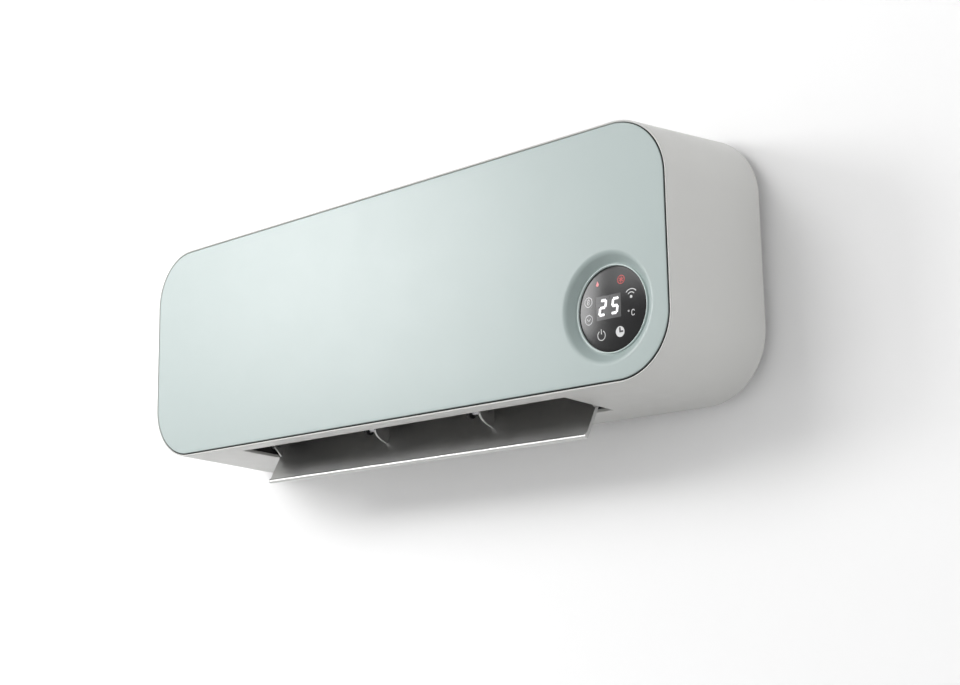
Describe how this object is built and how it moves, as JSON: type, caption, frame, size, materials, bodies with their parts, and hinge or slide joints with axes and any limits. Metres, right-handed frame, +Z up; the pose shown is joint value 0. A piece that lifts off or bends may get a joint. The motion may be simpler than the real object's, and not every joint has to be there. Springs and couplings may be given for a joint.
{
  "type": "fan convector heater",
  "caption": "Wall-mounted fan convector heater with a mint front panel, a round recessed touch display, a cross-flow fan, a ceramic heating element and a motorised air flap below.",
  "frame": {"origin": "centre of the flat rear face, on the wall", "axes": "+X to the viewer's right, +Y into the wall, +Z up; the front panel faces -Y"},
  "size_m": [0.5413, 0.092, 0.1999],
  "materials": {
    "casing_white": "satin",
    "back_plastic": "matte",
    "panel_mint": "gloss",
    "ring_mint": "gloss",
    "lens_black": "gloss",
    "circuit_board": "satin",
    "digit_plastic": "matte",
    "spring_steel": "satin",
    "inner_plastic": "matte",
    "duct_black": "matte",
    "ceramic": "matte",
    "fin_aluminium": "satin",
    "fan_aluminium": "satin",
    "brass_tab": "satin",
    "plated_steel": "satin",
    "rubber_black": "matte",
    "component_blue": "gloss",
    "component_yellow": "satin",
    "switch_black": "satin",
    "flap_silver": "satin",
    "net_grey": "matte"
  },
  "bodies": {
    "housing": {"casing": "casing_white", "rear_cover": "back_plastic", "front_panel": "panel_mint", "display_ring": "ring_mint", "display_lens": "lens_black", "display_board": "circuit_board", "digit_module": "digit_plastic", "touch_springs": "spring_steel", "ir_receiver": "digit_plastic", "display_holder": "inner_plastic", "rear_duct": "duct_black", "front_duct": "duct_black", "duct_end_left": "duct_black", "duct_end_right": "duct_black", "outlet_guard": "duct_black", "heater_cores": "ceramic", "heater_fins": "fin_aluminium", "heater_end_blocks": "inner_plastic", "heater_terminals": "brass_tab", "thermal_cutout": "inner_plastic", "fan_motor": "plated_steel", "motor_bracket": "inner_plastic", "motor_rings": "rubber_black", "bearing_bush": "brass_tab", "bearing_seat": "rubber_black", "flap_motor": "plated_steel", "control_board": "circuit_board", "relays": "component_blue", "suppressor": "component_yellow", "transformer": "component_yellow", "terminal_block": "inner_plastic", "radio_module": "plated_steel", "buzzer": "digit_plastic", "room_sensor": "digit_plastic", "switch_body": "switch_black", "cable_gland": "switch_black", "cover_screws": "plated_steel", "duct_screws": "plated_steel", "board_screws": "plated_steel"},
    "fan": {"fan_rotor": "fan_aluminium", "fan_hubs": "rubber_black", "motor_shaft": "plated_steel", "stub_shaft": "plated_steel"},
    "flap": {"flap": "flap_silver", "flap_pins": "plated_steel", "flap_sleeve": "flap_silver", "flap_motor_shaft": "plated_steel"},
    "filter": {"intake_grille": "casing_white", "dust_filter": "net_grey"},
    "rocker": {"switch_rocker": "switch_black"}
  },
  "joints": [
    {"name": "fan_spin", "type": "hinge", "parent": "housing", "child": "fan", "pos_m": [0, -0.044, 0.014], "axis": [1, 0, 0], "continuous": true},
    {"name": "flap_swing", "type": "hinge", "parent": "housing", "child": "flap", "pos_m": [0, -0.0478, -0.0784], "axis": [1, 0, 0], "range_deg": [-65.7, 24.3]},
    {"name": "filter_lift", "type": "slide", "parent": "housing", "child": "filter", "axis": [0, 0, 1], "range_m": [0, 0.03]},
    {"name": "rocker_tilt", "type": "hinge", "parent": "housing", "child": "rocker", "pos_m": [-0.26646, -0.04195, -0.022], "axis": [-0.0651, 0.9979, 0], "range_deg": [0, 18]}
  ]
}
